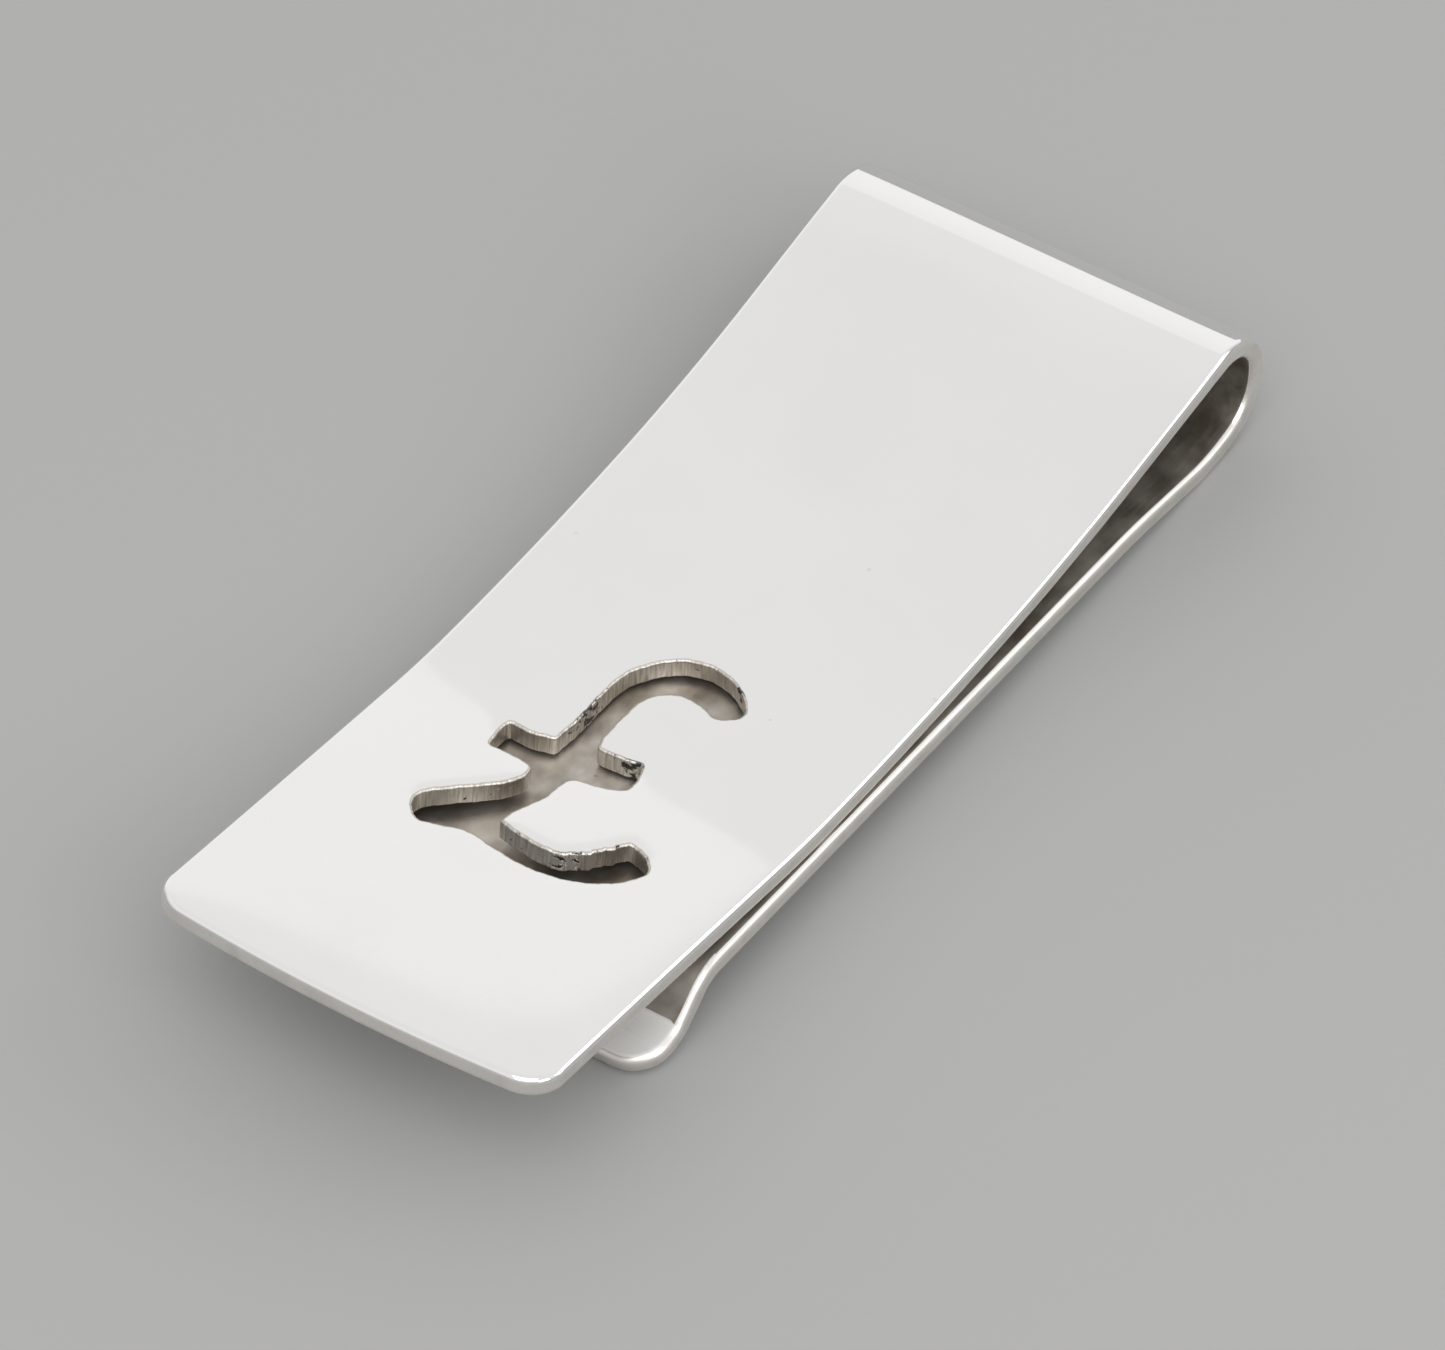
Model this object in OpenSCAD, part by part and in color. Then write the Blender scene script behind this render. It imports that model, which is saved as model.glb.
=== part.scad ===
// Money clip: one springy silver strip, folded round a bend into a front leaf and a back leaf.
// X runs along the clip with the bend at +X, Y runs across it, and +Z is up off the table.
// Origin: middle of the box that holds the clip, on the table it lies on.

/* [Strip] */
// Overall length, from the free end to the outside of the bend
clip_len = 56.35; // [46:0.05:68]
// Width of the strip at the bend and along the back leaf
strip_w = 20.3; // [16.5:0.1:25]
// Thickness of the sheet
strip_t = 1; // [0.8:0.05:1.2]

/* [Spring bend] */
// Radius of the bend, to the middle of the sheet
bend_r = 2.62; // [2.15:0.01:3.2]
// Radius of the heel that the clip rests on
heel_r = 9; // [7.5:0.5:11]
// Turn of the heel between the bend and where it touches the table
heel_lift = 13.6; // [10:0.2:16]

/* [Front leaf] */
// Clearance between the two leaves where the front leaf runs level
pinch_gap = 0.29; // [0.24:0.01:0.6]
// Slope of the flat run, down from the free end
flat_slope = 7.66; // [6:0.02:9]
// Radius of the bowed free end
bow_r = 90; // [60:5:200]
// Radius of the free end's corners
leaf_corner_r = 1.8; // [0.5:0.1:4]
// How much narrower each side is at the waist
waist = 0.22; // [0:0.02:0.5]

/* [Pierced sign] */
// Height of the pierced pound sign, measured along the clip
sign_h = 15.4; // [12:0.1:18.5]
// Distance from the free end to the foot of the sign
sign_from_end = 11.5; // [9.5:0.1:14]

/* [Back leaf] */
// Slope of the back leaf, up towards its tip
back_slope = 2.92; // [2:0.02:3.5]
// Distance from the front leaf's free end to the tip of the back leaf
tip_setback = 8; // [6:0.1:12]

/* [Flared tip] */
// Turn of the first crease, down to the table
flare_turn = 45; // [35:1:50]
// Turn of the second crease, back towards level
foot_turn = 30; // [20:1:30]
// Radius of both creases
crease_r = 2; // [1.5:0.1:3]
// Length of the foot
foot_len = 2.05; // [1.5:0.05:3]
// Radius of the tip's corners
tip_corner_r = 1.9; // [0.5:0.1:4]

/* [Hidden] */

half_t = strip_t / 2;
half_w = strip_w / 2;
over = 1;                       // how far a cutting tool reaches past what it cuts
cut_h = 2 * clip_len;           // height of a tool that cuts through a leaf
steps = 10;                     // chords in each curved stretch of a leaf
knot_steps = 4;                 // chords between two knots of the sign's outline
corner_steps = 8;               // chords in a rounded corner
bend_fn = 180;
silver = [0.86, 0.86, 0.84];
bend_silver = [0.83, 0.83, 0.81];
back_silver = [0.74, 0.74, 0.72];
satin_silver = [0.80, 0.80, 0.78];

// A place is [x, z, heading]. This is the place reached d along a stretch that turns evenly.
function along(p, d, len, turn) =
    let (b = turn * d / len, chord = abs(b) < 1e-6 ? d : 360 * d / (PI * b) * sin(b / 2))
    [p.x + chord * cos(p.z + b / 2), p.y + chord * sin(p.z + b / 2), p.z + b];

// Places along a run of stretches, each [length, turn]
function trace(p, runs, i = 0) =
    i == len(runs) ? [p] :
    let (size = runs[i][0], turn = runs[i][1], n = turn == 0 ? 1 : steps)
    concat([for (k = [0 : n - 1]) along(p, k * size / n, size, turn)],
           trace(along(p, size, size, turn), runs, i + 1));

function arc_len(r, turn) = PI * r * abs(turn) / 180;
function point(p) = [p.x, p.y];
function way(heading) = [cos(heading), sin(heading)];
function last(list) = list[len(list) - 1];
function back_to_front(list) = [for (k = [len(list) - 1 : -1 : 0]) list[k]];
function arc_pts(c, r, from, to, n) = [for (k = [0 : n]) c + r * way(from + (to - from) * k / n)];

// Outline of a sheet whose middle follows the places
function sheet(path) =
    concat([for (p = path) point(p) + half_t * way(p.z + 90)],
           [for (p = back_to_front(path)) point(p) - half_t * way(p.z + 90)]);

// The bend's centre stands over the end of the heel's turn
bend_x = clip_len / 2 - bend_r - half_t;
bend_z = half_t + heel_r - (heel_r - bend_r) * cos(heel_lift);

// Back leaf: the heel, a short straight, a slight easing, then a long straight to the flare
heel_fall = 7.56;               // turn of the heel beyond where it touches the table
heel_run = 3.26;
ease_len = 3;
heel_runs = [[arc_len(heel_r, heel_lift + heel_fall), -heel_lift - heel_fall],
             [heel_run, 0], [ease_len, heel_fall - back_slope]];
bend_foot = [bend_x + bend_r * sin(heel_lift), bend_z - bend_r * cos(heel_lift), 180 + heel_lift];
heel_path = trace(bend_foot, heel_runs);
back_start = last(heel_path);

// Flared tip: crease, ramp, crease and foot. The back leaf and the ramp are as long as it takes
// to put the foot's lower edge on the table at the set distance from the front leaf's end.
crease_1 = along([0, 0, back_start.z], arc_len(crease_r, flare_turn), arc_len(crease_r, flare_turn), flare_turn);
crease_2 = along([0, 0, crease_1.z], arc_len(crease_r, foot_turn), arc_len(crease_r, foot_turn), -foot_turn);
back_way = way(back_start.z);
ramp_way = way(crease_1.z);
foot_way = way(crease_2.z);
tip_point = [tip_setback - clip_len / 2, -half_t * foot_way.x];
bridge = tip_point - point(back_start) - point(crease_1) - point(crease_2) - foot_len * foot_way;
back_len = cross(bridge, ramp_way) / cross(back_way, ramp_way);
ramp_len = cross(back_way, bridge) / cross(back_way, ramp_way);
back_path = concat(heel_path, [along(back_start, back_len, back_len, 0)]);
flare_path = trace(last(back_path),
    [[arc_len(crease_r, flare_turn), flare_turn], [ramp_len, 0],
     [arc_len(crease_r, foot_turn), -foot_turn], [foot_len + over, 0]]);

// Front leaf, from the bend: a straight lead, a levelling curve, the dip over the pinch, a lift,
// and the flat run. Lengths are shares of the clip's, and slopes are shares of the lead's.
lead_len = 0.125 * clip_len;
level_len = 0.186 * clip_len;
dip_len = 0.231 * clip_len;
lift_len = 0.08 * clip_len;
level_share = 0.285;            // slope left after the levelling curve
rise_share = 0.205;             // slope the other way at the end of the dip
fall_len = dip_len * level_share / (level_share + rise_share);
lead_reach = lead_len + level_len * (1 + level_share) / 2 + fall_len * level_share / 2;
dip_x = bend_x - lead_len - level_len - fall_len;
dip_z = back_start.y + (back_start.x - dip_x) * tan(back_slope) + strip_t + pinch_gap;
first_slope = asin((bend_z + bend_r - dip_z) / lead_reach);
lead_slope = asin((bend_z + bend_r * cos(first_slope) - dip_z) / lead_reach);
bend_top = [bend_x - bend_r * sin(lead_slope), bend_z + bend_r * cos(lead_slope), 180 + lead_slope];
curved_path = trace(bend_top,
    [[lead_len, 0], [level_len, (level_share - 1) * lead_slope],
     [dip_len, -(level_share + rise_share) * lead_slope],
     [lift_len, rise_share * lead_slope - flat_slope]]);
flat_start = last(curved_path);
end_x = half_t * sin(flat_slope) - clip_len / 2;
flat_len = (flat_start.x - end_x) / cos(flat_slope);
free_end = along(flat_start, flat_len, flat_len, 0);
front_path = concat(curved_path, [along(flat_start, flat_len + over, 1, 0)]);

// Plan of the front leaf: a bowed end with round corners, and sides that narrow to a waist
waist_at = clip_len / 3;
function side(u) = half_w - waist + waist * pow((u - waist_at) / (clip_len - waist_at), 2);
corner_y = side(0) - leaf_corner_r;
corner_u = bow_r - sqrt(pow(bow_r - leaf_corner_r, 2) - corner_y * corner_y);
corner_from = atan2(corner_y, corner_u - bow_r);
front_half = concat(
    arc_pts([bow_r, 0], bow_r, 180, corner_from, corner_steps),
    arc_pts([corner_u, corner_y], leaf_corner_r, corner_from, 90, corner_steps),
    [for (k = [1 : steps]) let (u = corner_u + k * clip_len / steps) [u, side(u)]]);
front_plan = concat(front_half, [for (p = back_to_front(front_half)) [p.x, -p.y]]);

// Plan of the tip, measured back from its end
tip_half = concat(
    [[0, 0]],
    arc_pts([tip_corner_r, half_w - tip_corner_r], tip_corner_r, 180, 90, corner_steps),
    [[clip_len / 2, half_w]]);
tip_plan = concat(tip_half, [for (p = back_to_front(tip_half)) [p.x, -p.y]]);

// Outline of the sign, drawn 15.4 high as [right, up] from the middle of its foot: eight smooth
// runs that meet at the corners of the crossbar, the stem and the foot
drawn_h = 15.4;
foot_run = [[-1.15, 2], [0.6, 1.7], [2.1, 1.8], [3.2, 2.8], [4, 4], [4.6, 4.05], [5.4, 3.5], [5.6, 2.9],
            [4.9, 1.7], [3.4, 0.7], [1.5, 0.3], [-0.3, 0.45], [-1.75, 0.65], [-3.1, 0.2], [-3.9, 0],
            [-4.6, 0.6], [-4.75, 1.45], [-3.95, 2.45], [-2.5, 4], [-1.95, 5], [-2, 5.8]];
bar_left_low = [[-2, 5.8], [-2.95, 5.95], [-4.3, 5.9]];
bar_left_end = [[-4.3, 5.9], [-4.45, 6.8], [-4.45, 7.65]];
bar_left_top = [[-4.45, 7.65], [-3.4, 7.6], [-2.25, 7.9]];
stem_run = [[-2.25, 7.9], [-2.15, 9.7], [-2.2, 11.8], [-1.95, 13.35], [-0.8, 14.85], [0.7, 15.4],
            [2.2, 15.05], [3.25, 14.15], [3.3, 13.55], [2.6, 13], [1.9, 13.2], [1, 13.35], [0.1, 13.1],
            [-0.65, 12.2], [-0.8, 10.8], [-0.75, 9.2], [-0.55, 8.5]];
bar_right_top = [[-0.55, 8.5], [0.6, 8.55], [1.6, 8.75]];
bar_right_end = [[1.6, 8.75], [1.9, 7.9], [1.95, 7]];
bar_right_low = [[1.95, 7], [0.95, 6.5], [0, 6.3], [-0.45, 5.8], [-0.55, 4.4], [-1, 3], [-1.15, 2]];

// Smooth curve through knots, without its last point
function between(a, b, c, d, f) =
    b + f / 2 * (c - a) + f * f / 2 * (2 * a - 5 * b + 4 * c - d) + f * f * f / 2 * (3 * b - a - 3 * c + d);
function smooth(knots) = [for (i = [0 : len(knots) - 2], k = [0 : knot_steps - 1])
    between(knots[max(i - 1, 0)], knots[i], knots[i + 1], knots[min(i + 2, len(knots) - 1)], k / knot_steps)];
sign_pts = [for (run = [foot_run, bar_left_low, bar_left_end, bar_left_top, stem_run,
                        bar_right_top, bar_right_end, bar_right_low]) each smooth(run)];

// A strip of sheet seen from its side, as wide as w
module ribbon(path, w) {
    rotate([90, 0, 0])
        linear_extrude(w, center = true)
            polygon(sheet(path));
}

// A tool that cuts a plan through a leaf, square to the leaf at its end
module plan_tool(end, slope, plan) {
    translate([end.x, 0, end.y])
        rotate([0, slope, 0])
            linear_extrude(cut_h, center = true)
                polygon(plan);
}

// The pound sign, cut straight down, with its top towards the bend
module sign_tool() {
    size = sign_h / drawn_h;
    slant = cos(flat_slope / 2 + 1);
    translate([end_x + sign_from_end * slant, 0, -over])
        linear_extrude(cut_h)
            polygon([for (p = sign_pts) size * [slant * p.y, -p.x]]);
}

module front_leaf() {
    color(silver)
        difference() {
            intersection() {
                ribbon(front_path, strip_w + 2 * over);
                plan_tool(free_end, flat_slope, front_plan);
            }
            sign_tool();
        }
}

// Half a turn of sheet, less the heel's lift and with the lead's slope
module spring_bend() {
    reach = 2 * (bend_r + strip_t);
    color(bend_silver)
        translate([bend_x, 0, bend_z])
            rotate([90, 0, 0])
                linear_extrude(strip_w, center = true)
                    difference() {
                        circle(bend_r + half_t, $fn = bend_fn);
                        circle(bend_r - half_t, $fn = bend_fn);
                        polygon([[0, 0], reach * way(90 + lead_slope), reach * way(135),
                                 reach * way(180), reach * way(225), reach * way(270 + heel_lift)]);
                    }
}

module back_leaf() {
    color(back_silver)
        ribbon(back_path, strip_w);
}

module flared_tip() {
    color(satin_silver)
        intersection() {
            ribbon(flare_path, strip_w);
            plan_tool(tip_point, 180 - crease_2.z, tip_plan);
        }
}

front_leaf();
spring_bend();
back_leaf();
flared_tip();
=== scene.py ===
# Money clip: one folded strip of silver sheet. Sizes below are millimetres; newPiece turns them into metres.
import numpy as np
import bpy
from mathutils import Matrix, Vector
from mathutils.geometry import delaunay_2d_cdt


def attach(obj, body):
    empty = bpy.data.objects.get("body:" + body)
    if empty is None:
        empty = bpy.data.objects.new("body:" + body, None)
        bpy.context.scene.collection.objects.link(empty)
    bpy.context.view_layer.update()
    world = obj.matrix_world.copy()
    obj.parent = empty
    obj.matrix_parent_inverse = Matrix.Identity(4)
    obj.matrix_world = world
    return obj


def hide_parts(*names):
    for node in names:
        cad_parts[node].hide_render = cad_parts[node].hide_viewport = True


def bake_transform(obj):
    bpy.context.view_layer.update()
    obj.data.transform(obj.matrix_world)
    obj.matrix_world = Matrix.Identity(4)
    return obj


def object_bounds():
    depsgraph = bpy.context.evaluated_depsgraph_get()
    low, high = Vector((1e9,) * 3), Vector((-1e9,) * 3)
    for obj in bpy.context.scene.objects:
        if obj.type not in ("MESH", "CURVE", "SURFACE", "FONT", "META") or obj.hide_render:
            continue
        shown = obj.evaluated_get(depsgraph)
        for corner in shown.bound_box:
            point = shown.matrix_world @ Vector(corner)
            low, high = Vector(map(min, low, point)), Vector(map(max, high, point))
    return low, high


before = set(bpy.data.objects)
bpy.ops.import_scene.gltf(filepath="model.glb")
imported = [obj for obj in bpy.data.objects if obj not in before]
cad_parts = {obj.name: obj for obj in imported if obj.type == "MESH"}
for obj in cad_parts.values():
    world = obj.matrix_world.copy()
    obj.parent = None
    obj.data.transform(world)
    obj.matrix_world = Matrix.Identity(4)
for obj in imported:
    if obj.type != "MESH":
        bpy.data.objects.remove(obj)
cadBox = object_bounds()
mm = 0.001


# the strip's profile, the same rules as the CAD model follows

strip = {
    "thickness": 1.0,
    "edgeRound": 0.33,      # radius that tumbling and polishing gave every outer edge
    "bendRadius": 2.62,
    "heelRadius": 9.0,
    "heelLift": 13.6,
    "heelFall": 7.56,
    "heelRun": 3.26,
    "easeLength": 3.0,
    "backSlope": 2.92,
    "leadRun": 0.125,       # how long the front leaf's four curves are, as shares of its length
    "levelRun": 0.186,
    "dipRun": 0.231,
    "riseRun": 0.08,
    "levelShare": 0.285,    # shares of the first slope that are left after levelling and given back
    "riseShare": 0.205,
    "flatSlope": 7.66,
    "pinchGap": 0.29,
    "tipSetback": 8.0,
    "flareTurn": 45.0,
    "footTurn": 30.0,
    "creaseRadius": 2.0,
    "footLength": 2.05,
    "waist": 0.22,          # how far each side of the front leaf pulls in
    "waistAt": 1 / 3,       # and how far along the clip from the free end
    "spacing": 0.08,        # distance between the points that hold the profile
}
strip["length"] = float(cadBox[1][0] - cadBox[0][0]) / mm
strip["width"] = float(cadBox[1][1] - cadBox[0][1]) / mm
halfT = strip["thickness"] / 2


def heading(angle):
    return np.array([np.cos(np.radians(angle)), np.sin(np.radians(angle))])


def walk(start, runs, spacing):
    # carries [x, z, heading] along stretches of [length, turn]: after d of a stretch the chord is
    # d times sinc of half the turn so far, and it points half that turn away from the first heading
    out = [np.array([start], dtype=float)]
    for length, turn in runs:
        x, z, aim = out[-1][-1]
        d = np.linspace(0, length, max(2, int(length / spacing) + 1))[1:]
        b = np.radians(turn) * d / length
        chord = d * np.sinc(b / 2 / np.pi)
        a = np.radians(aim) + b / 2
        out.append(np.column_stack([x + chord * np.cos(a), z + chord * np.sin(a), aim + np.degrees(b)]))
    return np.vstack(out)


def arcLength(radius, turn):
    return np.radians(abs(turn)) * radius


def cross2(a, b):
    return a[0] * b[1] - a[1] * b[0]


def makeProfile(p):
    r, length, step = p["bendRadius"], p["length"], p["spacing"]
    lift = np.radians(p["heelLift"])
    centreZ = halfT + p["heelRadius"] - (p["heelRadius"] - r) * np.cos(lift)
    centre = np.array([length / 2 - r - halfT, centreZ])
    # the back leaf, from the bend, then the creases that bring the tip down to the table
    foot = [centre[0] + r * np.sin(lift), centre[1] - r * np.cos(lift), 180 + p["heelLift"]]
    heelTurn = p["heelLift"] + p["heelFall"]
    heelRuns = [(arcLength(p["heelRadius"], heelTurn), -heelTurn), (p["heelRun"], 0),
                (p["easeLength"], p["heelFall"] - p["backSlope"])]
    heel = walk(foot, heelRuns, step)
    flareArc = (arcLength(p["creaseRadius"], p["flareTurn"]), p["flareTurn"])
    footArc = (arcLength(p["creaseRadius"], p["footTurn"]), -p["footTurn"])
    crease1 = walk([0, 0, heel[-1, 2]], [flareArc], step)[-1]
    crease2 = walk([0, 0, crease1[2]], [footArc], step)[-1]
    backWay, rampWay, footWay = heading(heel[-1, 2]), heading(crease1[2]), heading(crease2[2])
    tip = np.array([p["tipSetback"] - length / 2, -halfT * footWay[0]])
    bridge = tip - heel[-1, :2] - crease1[:2] - crease2[:2] - p["footLength"] * footWay
    backLength = cross2(bridge, rampWay) / cross2(backWay, rampWay)
    rampLength = cross2(backWay, bridge) / cross2(backWay, rampWay)
    backRuns = heelRuns + [(backLength, 0)]
    flareRuns = [flareArc, (rampLength, 0), footArc, (p["footLength"], 0)]
    # the front leaf, from the bend: lead, levelling curve, dip, lift and flat run
    lead, level, dip, rise = (p[run] * length for run in ("leadRun", "levelRun", "dipRun", "riseRun"))
    fall = dip * p["levelShare"] / (p["levelShare"] + p["riseShare"])
    reach = lead + level * (1 + p["levelShare"]) / 2 + fall * p["levelShare"] / 2
    dipX = centre[0] - lead - level - fall
    dipZ = heel[-1, 1] + (heel[-1, 0] - dipX) * np.tan(np.radians(p["backSlope"])) + 2 * halfT + p["pinchGap"]
    slope = np.arcsin((centre[1] + r - dipZ) / reach)
    slope = np.degrees(np.arcsin((centre[1] + r * np.cos(slope) - dipZ) / reach))
    top = [centre[0] - r * heading(90 - slope)[0], centre[1] + r * heading(slope)[0], 180 + slope]
    curved = [(lead, 0), (level, (p["levelShare"] - 1) * slope),
              (dip, -(p["levelShare"] + p["riseShare"]) * slope),
              (rise, p["riseShare"] * slope - p["flatSlope"])]
    flatStart = walk(top, curved, step)[-1]
    endX = halfT * np.sin(np.radians(p["flatSlope"])) - length / 2
    flatLength = (flatStart[0] - endX) / np.cos(np.radians(p["flatSlope"]))
    front = walk(top, curved + [(flatLength, 0)], step)[::-1]
    front[:, 2] -= 180
    bendTurn = 180 + slope - p["heelLift"]
    bend = walk(front[-1], [(arcLength(r, bendTurn), -bendTurn)], step)
    back = walk(bend[-1], backRuns, step)
    flare = walk(back[-1], flareRuns, step)
    rows = np.vstack([front, bend[1:], back[1:], flare[1:]])
    s = np.concatenate([[0], np.cumsum(np.hypot(*np.diff(rows[:, :2], axis=0).T))])
    marks = np.cumsum([len(front) - 1, len(bend) - 1, len(back) - 1, len(flare) - 1])
    return {"s": s, "x": rows[:, 0], "z": rows[:, 1], "aim": rows[:, 2], "flatLength": flatLength,
            "frontEnd": s[marks[0]], "bendEnd": s[marks[1]], "backEnd": s[marks[2]], "tipEnd": s[marks[3]],
            "centre": centre, "top": front[-1], "foot": bend[-1]}


profile = makeProfile(strip)

# what the polishing wheel did to the edges
polish = {
    "dubReach": 1.7,        # how far in from an edge the buffing wheel has rolled the face over
    "dubTilt": 0.045,       # how much it tilts there, as a slope
    "signReach": 0.45,      # the same round the pierced sign
    "signTilt": 0.05,
    "crestReach": 1.9,      # and over the start of the bend, where the wheel has eased it
    "crestTilt": 0.2,
    # shares of half a turn round the edge: where the bright rim ends, where the filed wall ends and
    # where the inner face begins
    "rimTurn": 0.36,
    "wallTurn": 0.9,
    "innerTurn": 0.93,
    "quarterRings": 9,      # rings in each quarter turn round an edge
    "holeRings": 5,
    "holeWallRings": 5,     # more rings down the wall of the pierced sign
}


def onStrip(s, y, h):
    # a point of the strip: the middle line at s, pushed h towards the outside along its left normal
    x, z = np.interp(s, profile["s"], profile["x"]), np.interp(s, profile["s"], profile["z"])
    a = np.radians(np.interp(s, profile["s"], profile["aim"]))
    return np.column_stack([x - h * np.sin(a), y, z + h * np.cos(a)])


def normalsOnStrip(s, along, across, out):
    # turns directions given along the strip, across it and out of it into the frame's axes
    crest = polish["crestTilt"] * np.exp(-((s - profile["frontEnd"]) / polish["crestReach"]) ** 2)
    a = np.radians(np.interp(s, profile["s"], profile["aim"])) - crest * (out > 0)
    n = np.column_stack([along * np.cos(a) - out * np.sin(a), across, along * np.sin(a) + out * np.cos(a)])
    return n / np.linalg.norm(n, axis=1, keepdims=True)


print("profile:", {k: round(float(profile[k]), 2) for k in ("frontEnd", "bendEnd", "backEnd", "tipEnd")})


# meshes

def newPiece(name, points, faces, normals, capFrom, uv, matIndex, materials):
    mesh = bpy.data.meshes.new(name)
    mesh.from_pydata((points * mm).tolist(), [], faces)
    mesh.polygons.foreach_set("use_smooth", np.ones(len(faces), dtype=bool))
    mesh.polygons.foreach_set("material_index", matIndex)
    loopVerts = np.empty(len(mesh.loops), dtype=np.int32)
    mesh.loops.foreach_get("vertex_index", loopVerts)
    layer = mesh.uv_layers.new(name="UVMap")
    layer.uv.foreach_set("vector", uv[loopVerts].ravel().astype(np.float32))
    for material in materials:
        mesh.materials.append(material)
    mesh.update()
    # analytic normals on the skin; the flat caps from capFrom on keep their own
    loopNormals = normals[loopVerts]
    for face in mesh.polygons[capFrom:]:
        loopNormals[face.loop_start:face.loop_start + face.loop_total] = face.normal
    mesh.normals_split_custom_set(loopNormals.tolist())
    piece = bpy.data.objects.new(name, mesh)
    bpy.context.scene.collection.objects.link(piece)
    return piece


def filletTilts(count):
    # tilts of the rings round an edge: two quarter circles with the wall between. Each quarter stops
    # a hair short of upright, so that its last ring is known to be above or below the wall
    tilt = np.radians(np.linspace(0, 89.99, count))
    return np.concatenate([tilt, np.pi - tilt[::-1]])


def filletRing(r, tilt):
    # how far in from the edge and how high a ring of that tilt is, on a rounding of radius r
    upper = np.where(tilt > np.pi / 2, -1, 1)
    return r * (1 - np.sin(tilt)), upper * (halfT - r * (1 - np.abs(np.cos(tilt))))


def dub(gap, tilt=polish["dubTilt"], reach=polish["dubReach"]):
    # the lean of a face at a distance from its edge: it falls away exponentially
    return tilt * np.exp(-np.clip(gap, 0, None) / reach)


def ringKinds(tilt, face, wall):
    # the bright polished rim keeps the face's material, and the filed wall below it has its own
    middle = (tilt[:-1] + tilt[1:]) / 2 / np.pi
    return np.where((middle > polish["rimTurn"]) & (middle < polish["wallTurn"]), wall, face)


def halfWidth(s):
    # the sides of the front leaf are parabolas that pull in to a waist, the rest is straight
    at, reach = strip["length"] * strip["waistAt"], profile["frontEnd"]
    front = strip["width"] / 2 - strip["waist"] * (1 - ((s - at) / (reach - at)) ** 2)
    return np.where(s < profile["frontEnd"], front, strip["width"] / 2)


def ribbon(name, sFrom, sTo, sStep, acrossStep, materials):
    # the rounded section, as a closed ring of (y, h), carried along the profile from sFrom to sTo
    tilt = filletTilts(polish["quarterRings"])
    inset, height = filletRing(strip["edgeRound"], tilt)
    s = np.linspace(sFrom, sTo, int(round((sTo - sFrom) / sStep)) + 1)
    flatCount = int(strip["width"] / acrossStep)
    part = np.linspace(-1, 1, flatCount + 2)[1:-1]
    # each ring point is side * (half width - in) with side from -1 to 1, at height h
    side = np.concatenate([-np.ones(len(inset)), part, np.ones(len(inset)), part[::-1]])
    back = np.concatenate([inset, np.full(flatCount, strip["edgeRound"]), inset[::-1],
                           np.full(flatCount, strip["edgeRound"])])
    h = np.concatenate([height, np.full(flatCount, -halfT), height[::-1], np.full(flatCount, halfT)])
    a = np.concatenate([tilt, np.full(flatCount, np.pi), tilt[::-1], np.zeros(flatCount)])
    # the lean is only for the rings that are more face than wall
    nearFace = np.abs(np.sin(a)) < 0.5
    half = halfWidth(s)
    sGrid, hGrid = np.meshgrid(s, h, indexing="ij")
    y = side[None, :] * (half[:, None] - back[None, :])
    lean = dub(half[:, None] - np.abs(y)) * np.sign(y) * nearFace[None, :]
    across = np.sin(a)[None, :] * np.sign(side)[None, :] + lean
    out = np.broadcast_to(np.cos(a)[None, :], y.shape)
    points = onStrip(sGrid.ravel(), y.ravel(), hGrid.ravel())
    normals = normalsOnStrip(sGrid.ravel(), np.zeros(y.size), across.ravel(), out.ravel())
    n, m = y.shape
    i, j = np.meshgrid(np.arange(n - 1), np.arange(m), indexing="ij")
    j2 = (j + 1) % m
    quads = np.stack([i * m + j, i * m + j2, (i + 1) * m + j2, (i + 1) * m + j], axis=-1).reshape(-1, 4)
    faces = quads.tolist() + [list(range(m))[::-1], list(range((n - 1) * m, n * m))]
    uv = np.column_stack([sGrid.ravel(), y.ravel()])
    # the outer face takes the first material, the inner face the second and the side walls the third
    turned = (a + np.roll(a, -1)) / 2 / np.pi
    section = np.where(turned > polish["innerTurn"], 1, ringKinds(np.append(a, a[0]), 0, 2))
    kinds = np.concatenate([np.tile(section, n - 1), [0, 0]]).astype(np.int32)
    return newPiece(name, points, faces, normals, len(quads), uv, kinds, materials)


outline = {
    "sideStep": 0.3,        # distance between points along a plate's side
    "cornerPoints": 16,
    "bowPoints": 34,        # for half of the bowed end
    "gridHalf": 12,         # the inner grid is laid this far to each side and then cut to the outline
    "gridStart": 0.7,       # where its rows begin and end, and how near the outline its points may be,
    "gridStop": 0.6,        # as shares of its spacing
    "gridClear": 0.45,
}


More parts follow.
